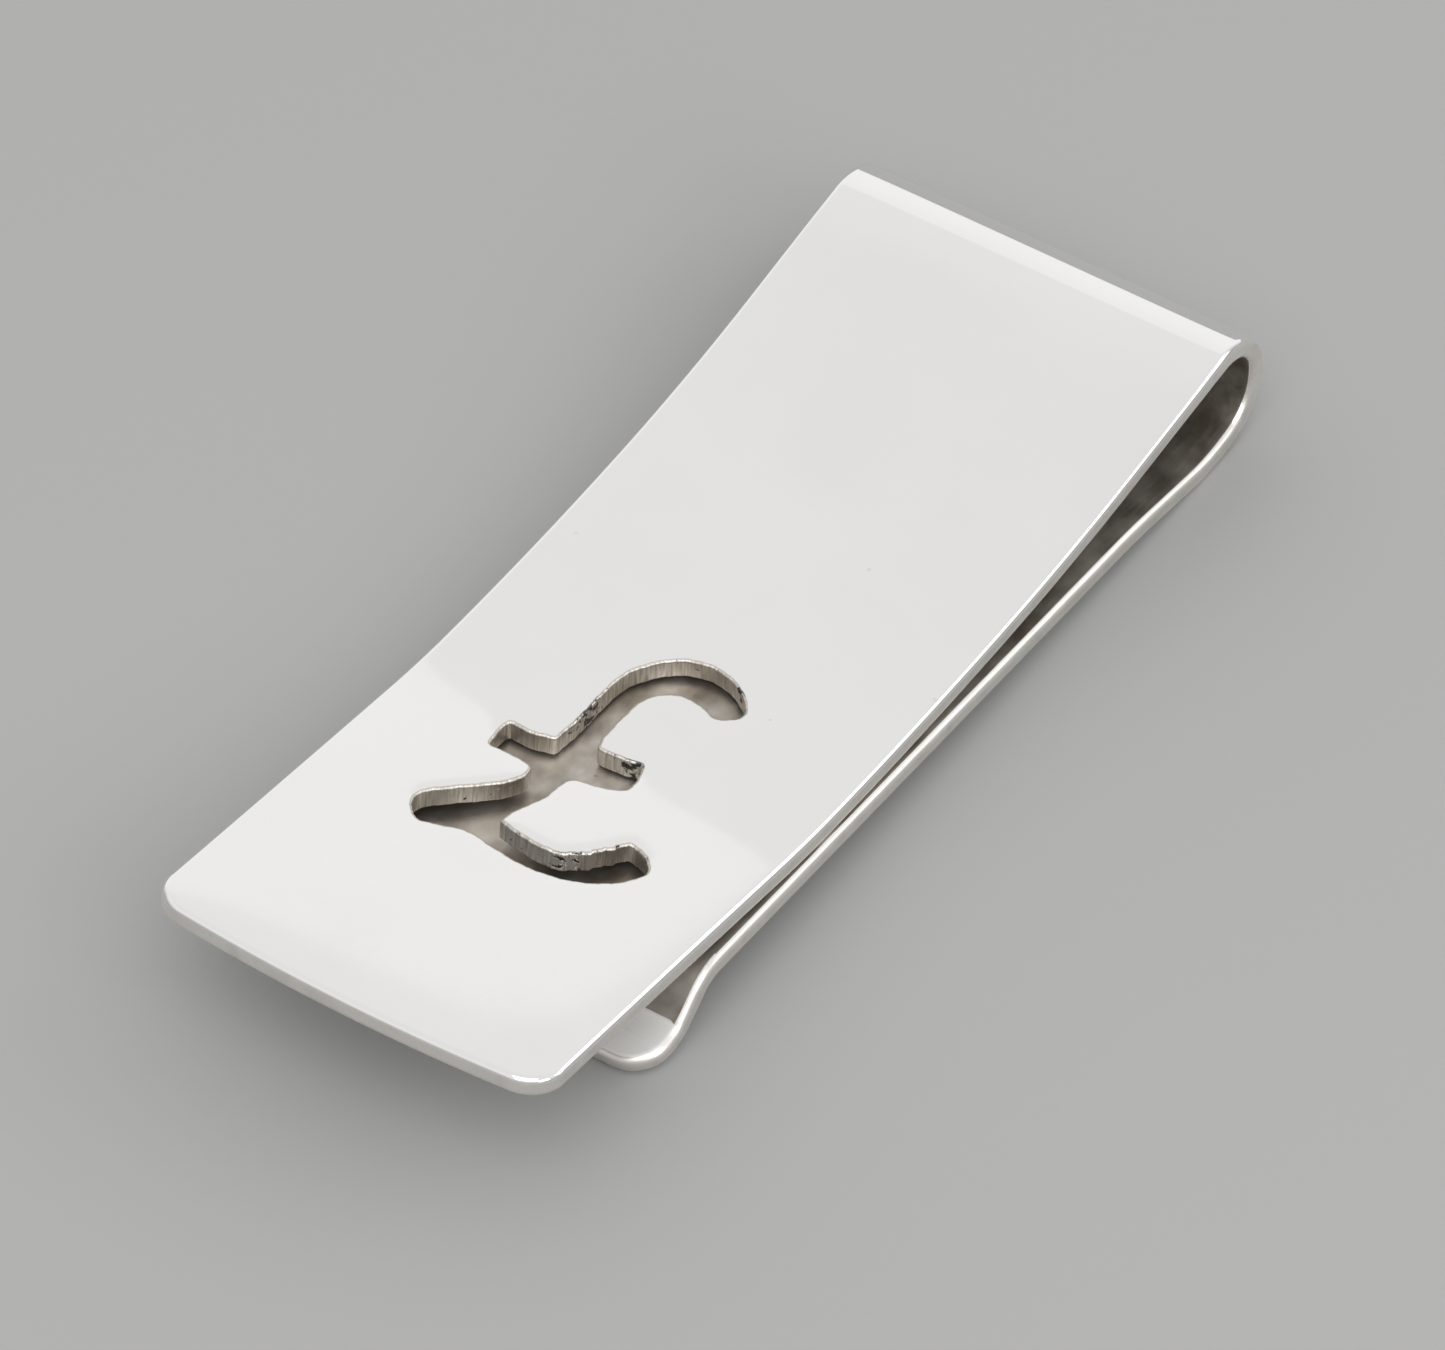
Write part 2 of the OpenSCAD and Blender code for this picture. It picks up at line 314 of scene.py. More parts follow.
def endOutline(plan, tilt):
    # outline of a strip's end where its edge has turned by tilt: side, corner arc, bowed end, corner
    # arc and side. Each has the same points, so rings join up. Returns points (u, y), outward
    # directions and heights.
    bow, corner = plan["bow"], plan["corner"]
    cy = float(plan["side"](0.0)) - corner
    cu = bow - np.sqrt((bow - corner) ** 2 - cy ** 2)
    turn = np.arctan2(cy, cu - bow)
    u = np.linspace(plan["reach"], cu, int((plan["reach"] - cu) / outline["sideStep"]) + 1)
    a = np.linspace(np.pi / 2, turn, outline["cornerPoints"])
    b = np.linspace(turn, np.pi, outline["bowPoints"])[1:]
    sideIn, sideHeight = filletRing(plan["round"](u), tilt)
    d, endHeight = filletRing(plan["round"](0), tilt)
    sideRow = np.column_stack([u, plan["side"](u) - sideIn])
    cornerRow = np.column_stack([cu + (corner - d) * np.cos(a), cy + (corner - d) * np.sin(a)])[1:]
    bowRow = np.column_stack([bow + (bow - d) * np.cos(b), (bow - d) * np.sin(b)])
    half = np.vstack([sideRow, cornerRow, bowRow])
    away = np.vstack([np.column_stack([0 * u, 0 * u + 1]), np.column_stack([np.cos(a), np.sin(a)])[1:],
                      np.column_stack([np.cos(b), np.sin(b)])])
    high = np.concatenate([sideHeight, np.full(len(a) + len(b) - 1, endHeight)])
    mirror = np.array([1, -1])
    return (np.vstack([half, (half[:-1] * mirror)[::-1]]), np.vstack([away, (away[:-1] * mirror)[::-1]]),
            np.concatenate([high, high[:-1][::-1]]))


def inside(points, loop):
    # even-odd count of the loop's edges that a ray in +u from each point crosses
    a, b = loop, np.roll(loop, -1, axis=0)
    y = points[:, 1][:, None]
    crosses = (a[:, 1] > y) != (b[:, 1] > y)
    rise = np.where(b[:, 1] == a[:, 1], 1e-12, b[:, 1] - a[:, 1])
    at = a[:, 0] + (y - a[:, 1]) / rise * (b[:, 0] - a[:, 0])
    return (crosses & (at > points[:, 0][:, None])).sum(axis=1) % 2 == 1


def plate(name, plan, hole, materials):
    # a strip's end as a filled plan with rounded edges: one triangulation serves the top and the
    # underside, and rings of quads run round the outer edge and round the hole
    tilt = filletTilts(polish["quarterRings"])
    rim = endOutline(plan, 0.0)[0]
    rows = [rim]
    join = np.arange(rim[-1, 1] + plan["grid"], rim[0, 1] - plan["grid"] / 2, plan["grid"])
    rows.append(np.column_stack([np.full(len(join), plan["reach"]), join]))
    if hole is not None:
        rows.append(hole["pts"] + hole["round"] * hole["away"])
    if plan["line"] > 0:
        line = np.arange(join[0], join[-1] + plan["grid"] / 2, plan["grid"])
        rows.append(np.column_stack([np.full(len(line), plan["line"]), line]))
    u = np.arange(plan["grid"] * outline["gridStart"], plan["reach"] - plan["grid"] * outline["gridStop"],
                  plan["grid"])
    y = np.arange(-outline["gridHalf"], outline["gridHalf"], plan["grid"])
    grid = np.stack(np.meshgrid(u, y, indexing="ij"), axis=-1).reshape(-1, 2)
    fence = np.vstack(rows)
    # every other outline point is enough to tell how near the outline is
    near = np.sqrt(((grid[:, None, :] - fence[None, ::2, :]) ** 2).sum(axis=-1).min(axis=1))
    keep = inside(grid, np.vstack(rows[:2])) & (near > outline["gridClear"] * plan["grid"])
    if hole is not None:
        keep &= ~inside(grid, rows[2])
    flat = np.vstack([fence, grid[keep]])
    outer = np.arange(len(rim) + len(join))
    edges = np.column_stack([outer, np.roll(outer, -1)])
    if hole is not None:
        ring = len(outer) + np.arange(len(hole["pts"]))
        edges = np.vstack([edges, np.column_stack([ring, np.roll(ring, -1)])])
    if plan["line"] > 0:
        across = len(fence) - len(line) + np.arange(len(line))
        edges = np.vstack([edges, np.column_stack([across[:-1], across[1:]])])
    found = delaunay_2d_cdt([Vector(p) for p in flat], edges.tolist(), [], 0, 1e-7)
    verts2, tris, origin = found[0], found[2], found[3]
    flat2 = np.array(verts2)[:, :2]
    # where each point given to the triangulation has gone in its answer
    lookup = np.full(len(flat), -1)
    lookup[np.concatenate(origin).astype(int)] = np.repeat(np.arange(len(origin)), [len(o) for o in origin])
    tris = np.array(tris)
    middle = flat2[tris].mean(axis=1)
    keepTri = inside(middle, np.vstack(rows[:2]))
    if hole is not None:
        keepTri &= ~inside(middle, rows[2])
    tris = tris[keepTri]
    p, q, r = flat2[tris[:, 0]], flat2[tris[:, 1]], flat2[tris[:, 2]]
    turned = cross2((q - p).T, (r - p).T) < 0
    tris[turned] = tris[turned][:, ::-1]
    n = len(flat2)
    leanY = dub(plan["side"](flat2[:, 0]) - np.abs(flat2[:, 1])) * np.sign(flat2[:, 1])
    leanU = -dub(flat2[:, 0] - flat2[:, 1] ** 2 / (2 * plan["bow"]))
    pts, uvs = [flat2, flat2], [flat2, flat2]
    hs = [np.full(n, halfT), np.full(n, -halfT)]
    nrm = [np.column_stack([leanU, leanY, np.ones(n)]), np.column_stack([leanU, leanY, -np.ones(n)])]
    if hole is not None:
        # round the hole the face leans towards the nearest point of its edge
        gap = hole["pts"][None, :, :] - flat2[:, None, :]
        nearest = np.argmin((gap ** 2).sum(axis=-1), axis=1)
        lean = gap[np.arange(n), nearest]
        far = np.linalg.norm(lean, axis=1, keepdims=True)
        nrm[0][:, :2] += lean / far * dub(far - hole["round"], polish["signTilt"], polish["signReach"])
    # the inner side may have a line across it, where its material changes
    beyond = flat2[tris].mean(axis=1)[:, 0] > plan["line"]
    quads = [tris, tris[:, ::-1] + n]
    kind = [np.full(len(tris), plan["outerKind"]), np.where(beyond, plan["beyondLine"], 0)]
    count = 2 * n

    def skirt(firstRing, rings, closed, flipped, mats):
        # joins the top's edge to the underside's through the rings between
        nonlocal count
        size = len(firstRing)
        index = [firstRing]
        arc = np.concatenate([[0], np.cumsum(np.hypot(*np.diff(rings[0][0], axis=0).T))])
        for pos, direction, h, angle in rings[1:-1]:
            pts.append(pos)
            hs.append(h + np.zeros(size))
            nrm.append(np.column_stack([direction * np.sin(angle), np.full(size, np.cos(angle))]))
            uvs.append(np.column_stack([arc, h + np.zeros(size)]))
            index.append(np.arange(count, count + size))
            count += size
        index.append(firstRing + n)
        index = np.array(index)
        a, b = index[:-1], index[1:]
        if closed:
            a2, b2 = np.roll(a, -1, axis=1), np.roll(b, -1, axis=1)
        else:
            a, a2, b, b2 = a[:, :-1], a[:, 1:], b[:, :-1], b[:, 1:]
        block = np.stack([a, a2, b2, b] if flipped else [a, b, b2, a2], axis=-1).reshape(-1, 4)
        quads.append(block)
        kind.append(np.repeat(mats, len(block) // len(mats)))
        return index

    sideIndex = skirt(lookup[np.arange(len(rim))], [(*endOutline(plan, a), a) for a in tilt], False, False,
                      ringKinds(tilt, 0, 2))
    if hole is not None:
        # the hole's rings: a quarter turn, the straight wall and a quarter turn
        turn, wall = polish["holeRings"], polish["holeWallRings"]
        holeTilt = filletTilts(turn)
        holeIn, holeHigh = filletRing(hole["round"], holeTilt)
        drop = np.linspace(holeHigh[turn - 1], holeHigh[turn], wall + 2)[1:-1]
        holeIn = np.concatenate([holeIn[:turn], np.zeros(wall), holeIn[turn:]])
        holeHigh = np.concatenate([holeHigh[:turn], drop, holeHigh[turn:]])
        holeTilt = np.concatenate([holeTilt[:turn], np.full(wall, np.pi / 2), holeTilt[turn:]])
        holeRings = [(hole["pts"] + d * hole["away"], -hole["away"], h, a)
                     for d, h, a in zip(holeIn, holeHigh, holeTilt)]
        skirt(lookup[len(outer) + np.arange(len(hole["pts"]))], holeRings, True, hole["flip"],
              np.ones(len(holeTilt) - 1))
    flatAll, hAll, uvAll = np.vstack(pts), np.concatenate(hs), np.vstack(uvs)
    dirs = np.vstack(nrm)
    s = flatAll[:, 0] if plan["sFrom"] is None else plan["sFrom"] - flatAll[:, 0]
    sense = 1 if plan["sFrom"] is None else -1
    points = onStrip(s, flatAll[:, 1], hAll)
    normals = normalsOnStrip(s, sense * dirs[:, 0], dirs[:, 1], dirs[:, 2])
    faces = [f for block in quads for f in block.tolist()]
    skin = len(faces)
    # the cut face at the join: quads under the top's last row, and one face at each rounded side
    row = lookup[np.concatenate([[len(rim) - 1], len(rim) + np.arange(len(join)), [0]])]
    faces += [[a, a + n, b + n, b] for a, b in zip(row[:-1].tolist(), row[1:].tolist())]
    faces += [sideIndex[::-1, 0].tolist(), sideIndex[:, -1].tolist()]
    matIndex = np.concatenate(kind + [np.zeros(len(faces) - skin)]).astype(np.int32)
    if sense < 0:
        faces = [f[::-1] for f in faces]
    piece = newPiece(name, points, faces, normals, skin, uvAll, matIndex, materials)
    if hole is not None:
        # 1 at a torn place, falling away as a Gaussian
        torn = [np.exp(-((flatAll - [u, y]) ** 2).sum(axis=1) / size ** 2) for u, y, size in hole["torn"]]
        piece.data.attributes.new("torn", "FLOAT", "POINT").data.foreach_set("value", np.max(torn, axis=0))
    return piece


# the pierced pound sign

sign = {
    "fromEnd": 11.5,
    "height": 15.4,
    "drawn": 15.4,          # height of the sign in the points below
    "edgeRound": 0.14,      # the polishing wheel has only just taken the edge off the saw cut
    "spacing": 0.1,
    "soften": 0.11,         # how far the saw rounds a corner
    "wander": 0.012,        # how far the saw strays from the line
    "waves": [[5.3, 1.0, 0], [11.9, 0.7, 1], [23.7, 0.5, 2]],   # [turn per mm, share, phase] of straying
    "ragged": [5.2, 2.0, 3.0],  # where along the outline, over what length and how much more it strays
    "knotSteps": 16,        # points between two drawn ones
    # [right, up, reach] of the places where the blade tore the wall
    "torn": [[1.2, 8.7, 0.8], [-2.2, 10.2, 1.3], [2.6, 14.95, 0.4], [4.9, 3.6, 0.4], [2.3, 1.9, 0.6]],
    # [right, up] from the middle of the foot; smooth runs that meet at corners
    "foot": [[-1.15, 2], [0.6, 1.7], [2.1, 1.8], [3.2, 2.8], [4, 4], [4.6, 4.05], [5.4, 3.5], [5.6, 2.9],
             [4.9, 1.7], [3.4, 0.7], [1.5, 0.3], [-0.3, 0.45], [-1.75, 0.65], [-3.1, 0.2], [-3.9, 0],
             [-4.6, 0.6], [-4.75, 1.45], [-3.95, 2.45], [-2.5, 4], [-1.95, 5], [-2, 5.8]],
    "barLeft": [[[-2, 5.8], [-2.95, 5.95], [-4.3, 5.9]], [[-4.3, 5.9], [-4.45, 6.8], [-4.45, 7.65]],
                [[-4.45, 7.65], [-3.4, 7.6], [-2.25, 7.9]]],
    "stem": [[-2.25, 7.9], [-2.15, 9.7], [-2.2, 11.8], [-1.95, 13.35], [-0.8, 14.85], [0.7, 15.4],
             [2.2, 15.05], [3.25, 14.15], [3.3, 13.55], [2.6, 13], [1.9, 13.2], [1, 13.35], [0.1, 13.1],
             [-0.65, 12.2], [-0.8, 10.8], [-0.75, 9.2], [-0.55, 8.5]],
    "barRight": [[[-0.55, 8.5], [0.6, 8.55], [1.6, 8.75]], [[1.6, 8.75], [1.9, 7.9], [1.95, 7]],
                 [[1.95, 7], [0.95, 6.5], [0, 6.3], [-0.45, 5.8], [-0.55, 4.4], [-1, 3], [-1.15, 2]]],
}


def throughKnots(knots, steps):
    # a Catmull-Rom curve: each span is the cubic that passes its two knots with the slope of the
    # chord between the knots on either side
    k = np.array(knots, dtype=float)
    k = np.vstack([k[:1], k, k[-1:]])
    a, b, c, d = (k[i:len(k) - 3 + i, None, :] for i in range(4))
    f = (np.arange(steps) / steps)[None, :, None]
    return (b + f / 2 * (c - a) + f ** 2 / 2 * (2 * a - 5 * b + 4 * c - d)
            + f ** 3 / 2 * (3 * b - a - 3 * c + d)).reshape(-1, 2)


def signHole(p):
    runs = [p["foot"]] + p["barLeft"] + [p["stem"]] + p["barRight"]
    drawn = np.vstack([throughKnots(run, p["knotSteps"]) for run in runs])
    loop = np.column_stack([p["fromEnd"] + drawn[:, 1] * p["height"] / p["drawn"],
                            -drawn[:, 0] * p["height"] / p["drawn"]])
    # even spacing, then a Gaussian blur round the loop to round the corners
    closed = np.vstack([loop, loop[:1]])
    arc = np.concatenate([[0], np.cumsum(np.hypot(*np.diff(closed, axis=0).T))])
    count = int(arc[-1] / p["spacing"])
    at = np.arange(count) * arc[-1] / count
    even = np.column_stack([np.interp(at, arc, closed[:, 0]), np.interp(at, arc, closed[:, 1])])
    wave = np.fft.fftfreq(count, d=p["spacing"])
    blur = np.exp(-2 * (np.pi * wave * p["soften"]) ** 2)
    even = np.fft.ifft(np.fft.fft(even[:, 0] + 1j * even[:, 1]) * blur)
    pts = np.column_stack([even.real, even.imag])
    way = np.roll(pts, -1, axis=0) - np.roll(pts, 1, axis=0)
    way /= np.linalg.norm(way, axis=1, keepdims=True)
    area = cross2(pts.T, np.roll(pts, -1, axis=0).T).sum()
    away = np.column_stack([way[:, 1], -way[:, 0]]) * np.sign(area)
    middle, reach, more = p["ragged"]
    stray = p["wander"] * sum(share * np.sin(at * rate + phase) for rate, share, phase in p["waves"])
    stray *= 1 + more * np.exp(-((at - middle) / reach) ** 2)
    torn = [[p["fromEnd"] + up, -right, size] for right, up, size in p["torn"]]
    return {"pts": pts + stray[:, None] * away, "away": away, "round": p["edgeRound"], "flip": area > 0,
            "torn": torn}


# materials

def socket(group, name, kind, inOut, value=None):
    s = group.interface.new_socket(name=name, in_out=inOut, socket_type=kind)
    if value is not None:
        s.default_value = value
    return s


def addNode(tree, kind, x, y, **settings):
    node = tree.nodes.new(kind)
    node.location = (x, y)
    for key, value in settings.items():
        setattr(node, key, value)
    return node


def mapRange(tree, x, y, lowIn, highIn, lowOut, highOut):
    node = addNode(tree, "ShaderNodeMapRange", x, y)
    for name, value in zip(("From Min", "From Max", "To Min", "To Max"), (lowIn, highIn, lowOut, highOut)):
        node.inputs[name].default_value = value
    return node


lineMarks = {
    "fineScale": 9000,
    "fineDetail": 3,
    "deepScale": 2600,      # sparse deeper scratches: only the noise above deepFrom shows
    "deepDetail": 5,
    "deepFrom": 0.66,
    "deepTo": 0.72,
    "streakFrom": 0.52,     # the part of the fine lines that darkens a brushed face
    "streakTo": 0.72,
    "roughFrom": 0.3,       # and the part that changes the roughness
    "roughTo": 0.75,
}


def makeHairlines(p):
    # very fine straight polishing lines: noise stretched along one direction, with sparse deeper ones
    g = bpy.data.node_groups.new("hairlines", "ShaderNodeTree")
    socket(g, "Turn", "NodeSocketFloat", "INPUT", 0.0)
    socket(g, "Scale", "NodeSocketFloat", "INPUT", 1.0)
    socket(g, "Stretch", "NodeSocketFloat", "INPUT", 0.04)
    socket(g, "Lines", "NodeSocketFloat", "OUTPUT")
    socket(g, "Scratches", "NodeSocketFloat", "OUTPUT")
    groupIn, groupOut = addNode(g, "NodeGroupInput", -1000, 0), addNode(g, "NodeGroupOutput", 500, 0)
    coord = addNode(g, "ShaderNodeTexCoord", -1000, 200)
    turn = addNode(g, "ShaderNodeCombineXYZ", -820, 0)
    g.links.new(groupIn.outputs["Turn"], turn.inputs["Z"])
    spin = addNode(g, "ShaderNodeVectorRotate", -640, 200, rotation_type="EULER_XYZ")
    g.links.new(coord.outputs["Object"], spin.inputs["Vector"])
    g.links.new(turn.outputs[0], spin.inputs["Rotation"])
    squeeze = addNode(g, "ShaderNodeCombineXYZ", -640, 0)
    g.links.new(groupIn.outputs["Stretch"], squeeze.inputs["X"])
    squeeze.inputs["Y"].default_value = 1.0
    squeeze.inputs["Z"].default_value = 1.0
    wide = addNode(g, "ShaderNodeVectorMath", -460, 200, operation="MULTIPLY")
    g.links.new(spin.outputs[0], wide.inputs[0])
    g.links.new(squeeze.outputs[0], wide.inputs[1])
    sized = addNode(g, "ShaderNodeVectorMath", -300, 200, operation="SCALE")
    g.links.new(wide.outputs[0], sized.inputs[0])
    g.links.new(groupIn.outputs["Scale"], sized.inputs["Scale"])
    fine = addNode(g, "ShaderNodeTexNoise", -120, 250)
    fine.inputs["Scale"].default_value = p["fineScale"]
    fine.inputs["Detail"].default_value = p["fineDetail"]
    g.links.new(sized.outputs[0], fine.inputs["Vector"])
    g.links.new(fine.outputs["Fac"], groupOut.inputs["Lines"])
    deep = addNode(g, "ShaderNodeTexNoise", -120, -50)
    deep.inputs["Scale"].default_value = p["deepScale"]
    deep.inputs["Detail"].default_value = p["deepDetail"]
    g.links.new(sized.outputs[0], deep.inputs["Vector"])
    cut = mapRange(g, 120, -50, p["deepFrom"], p["deepTo"], 0.0, 1.0)
    g.links.new(deep.outputs["Fac"], cut.inputs["Value"])
    g.links.new(cut.outputs[0], groupOut.inputs["Scratches"])
    return g


pitMarks = {
    "rareness": 0.84,       # the share of the cells that hold no pit
    "cloudDetail": 3,
}


def makePits(p):
    # sparse dots and soft clouds: handling marks that break up a polished face
    g = bpy.data.node_groups.new("pits", "ShaderNodeTree")
    socket(g, "Scale", "NodeSocketFloat", "INPUT", 420.0)
    socket(g, "Size", "NodeSocketFloat", "INPUT", 0.06)
    socket(g, "Cloud Scale", "NodeSocketFloat", "INPUT", 160.0)
    socket(g, "Pits", "NodeSocketFloat", "OUTPUT")
    socket(g, "Clouds", "NodeSocketFloat", "OUTPUT")
    groupIn, groupOut = addNode(g, "NodeGroupInput", -800, 0), addNode(g, "NodeGroupOutput", 400, 0)
    coord = addNode(g, "ShaderNodeTexCoord", -800, 200)
    cells = addNode(g, "ShaderNodeTexVoronoi", -500, 200)
    g.links.new(coord.outputs["Object"], cells.inputs["Vector"])
    g.links.new(groupIn.outputs["Scale"], cells.inputs["Scale"])
    rare = addNode(g, "ShaderNodeMath", -300, 0, operation="GREATER_THAN")
    split = addNode(g, "ShaderNodeSeparateColor", -500, 0)
    g.links.new(cells.outputs["Color"], split.inputs[0])
    g.links.new(split.outputs[0], rare.inputs[0])
    rare.inputs[1].default_value = p["rareness"]
    near = addNode(g, "ShaderNodeMath", -300, 200, operation="LESS_THAN")
    g.links.new(cells.outputs["Distance"], near.inputs[0])
    g.links.new(groupIn.outputs["Size"], near.inputs[1])
    both = addNode(g, "ShaderNodeMath", -100, 100, operation="MULTIPLY")
    g.links.new(near.outputs[0], both.inputs[0])
    g.links.new(rare.outputs[0], both.inputs[1])
    g.links.new(both.outputs[0], groupOut.inputs["Pits"])
    cloud = addNode(g, "ShaderNodeTexNoise", -300, -250)
    g.links.new(groupIn.outputs["Cloud Scale"], cloud.inputs["Scale"])
    cloud.inputs["Detail"].default_value = p["cloudDetail"]
    g.links.new(coord.outputs["Object"], cloud.inputs["Vector"])
    g.links.new(cloud.outputs["Fac"], groupOut.inputs["Clouds"])
    return g


hairlines = makeHairlines(lineMarks)
pits = makePits(pitMarks)


def silver(name, p):
    # silver: a tone that tarnish clouds darken a little, roughness that hairlines and clouds vary
    m = bpy.data.materials.new(name)
    m.use_nodes = True
    tree = m.node_tree
    shader = tree.nodes["Principled BSDF"]
    shader.inputs["Metallic"].default_value = p["metal"]
    lines = addNode(tree, "ShaderNodeGroup", -900, 0, node_tree=hairlines)
    lines.inputs["Turn"].default_value = p["turn"]
    lines.inputs["Scale"].default_value = p["lineScale"]
    lines.inputs["Stretch"].default_value = p["stretch"]
    spots = addNode(tree, "ShaderNodeGroup", -900, -300, node_tree=pits)
    spots.inputs["Scale"].default_value = p["pitScale"]
    spots.inputs["Size"].default_value = p["pitSize"]
    spots.inputs["Cloud Scale"].default_value = p["cloudScale"]
    tone = addNode(tree, "ShaderNodeMix", -400, 300, data_type="RGBA")
    tone.inputs["A"].default_value = p["tone"]
    tone.inputs["B"].default_value = p["dark"]
    cloudMask = mapRange(tree, -650, 300, p["cloudFrom"], p["cloudTo"], 0.0, p["clouding"])
    tree.links.new(spots.outputs["Clouds"], cloudMask.inputs["Value"])
    spotMask = addNode(tree, "ShaderNodeMath", -560, 120, operation="MULTIPLY")
    tree.links.new(spots.outputs["Pits"], spotMask.inputs[0])
    spotMask.inputs[1].default_value = p["pitDark"]
    most = addNode(tree, "ShaderNodeMath", -480, 200, operation="MAXIMUM")
    tree.links.new(cloudMask.outputs[0], most.inputs[0])
    tree.links.new(spotMask.outputs[0], most.inputs[1])
    streaks = mapRange(tree, -650, 500, lineMarks["streakFrom"], lineMarks["streakTo"], 0.0, p["streaks"])
    tree.links.new(lines.outputs["Lines"], streaks.inputs["Value"])
    darkest = addNode(tree, "ShaderNodeMath", -440, 400, operation="MAXIMUM")
    tree.links.new(most.outputs[0], darkest.inputs[0])
    tree.links.new(streaks.outputs[0], darkest.inputs[1])
    tree.links.new(darkest.outputs[0], tone.inputs["Factor"])
    tree.links.new(tone.outputs["Result"], shader.inputs["Base Color"])
    rough = mapRange(tree, -400, 0, lineMarks["roughFrom"], lineMarks["roughTo"],
                     p["roughLow"], p["roughHigh"])
    tree.links.new(lines.outputs["Lines"], rough.inputs["Value"])
    tree.links.new(rough.outputs[0], shader.inputs["Roughness"])
    height = addNode(tree, "ShaderNodeMath", -400, -200, operation="MULTIPLY_ADD")
    tree.links.new(lines.outputs["Scratches"], height.inputs[0])
    height.inputs[1].default_value = -p["scratchDepth"]
    tree.links.new(lines.outputs["Lines"], height.inputs[2])
    bump = addNode(tree, "ShaderNodeBump", -200, -200)
    bump.inputs["Strength"].default_value = p["bump"]
    bump.inputs["Distance"].default_value = p["bumpDistance"]
    tree.links.new(height.outputs[0], bump.inputs["Height"])
    tree.links.new(bump.outputs[0], shader.inputs["Normal"])
    return m


# the outside, buffed bright
polished = silver("polishedSilver", {
    "metal": 1.0, "streaks": 0.0, "tone": (0.93, 0.923, 0.912, 1), "dark": (0.80, 0.78, 0.75, 1),
    "clouding": 0.12, "cloudFrom": 0.42, "cloudTo": 0.75, "cloudScale": 160.0,
    "turn": 0.2, "lineScale": 1.0, "stretch": 0.03, "pitScale": 420.0, "pitSize": 0.05, "pitDark": 0.45,
    "roughLow": 0.04, "roughHigh": 0.09, "scratchDepth": 0.4, "bump": 0.05, "bumpDistance": 0.000004})
# the inside of the fold, which no wheel reaches: dull and brown with tarnish, its tone darkened further as
# painted shade
tarnishAndShade = silver("tarnishAndShadeSilver", {
    "metal": 0.9, "streaks": 0.0, "tone": (0.66, 0.62, 0.565, 1), "dark": (0.17, 0.135, 0.10, 1),
    "clouding": 0.8, "cloudFrom": 0.28, "cloudTo": 0.68, "cloudScale": 480.0,
    "turn": 0.0, "lineScale": 0.6, "stretch": 0.05, "pitScale": 700.0, "pitSize": 0.09, "pitDark": 0.6,
    "roughLow": 0.36, "roughHigh": 0.5, "scratchDepth": 0.1, "bump": 0.25, "bumpDistance": 0.00001})
# the walls of the strip, left from the file
filed = silver("filedSilver", {
    "metal": 1.0, "streaks": 0.2, "tone": (0.90, 0.87, 0.83, 1), "dark": (0.62, 0.58, 0.53, 1),
    "clouding": 0.35, "cloudFrom": 0.42, "cloudTo": 0.75, "cloudScale": 900.0,
    "turn": 0.0, "lineScale": 0.7, "stretch": 0.04, "pitScale": 900.0, "pitSize": 0.07, "pitDark": 0.5,
    "roughLow": 0.28, "roughHigh": 0.42, "scratchDepth": 0.3, "bump": 0.25, "bumpDistance": 0.000008})
# the top of the tip, rubbed across the strip
satin = silver("satinSilver", {
    "metal": 0.42, "streaks": 0.65, "tone": (0.99, 0.98, 0.96, 1), "dark": (0.68, 0.66, 0.62, 1),
    "clouding": 0.2, "cloudFrom": 0.42, "cloudTo": 0.75, "cloudScale": 300.0,
    "turn": 1.5708, "lineScale": 0.35, "stretch": 0.025, "pitScale": 600.0, "pitSize": 0.08, "pitDark": 0.4,
    "roughLow": 0.42, "roughHigh": 0.6, "scratchDepth": 0.8, "bump": 0.6, "bumpDistance": 0.000014})


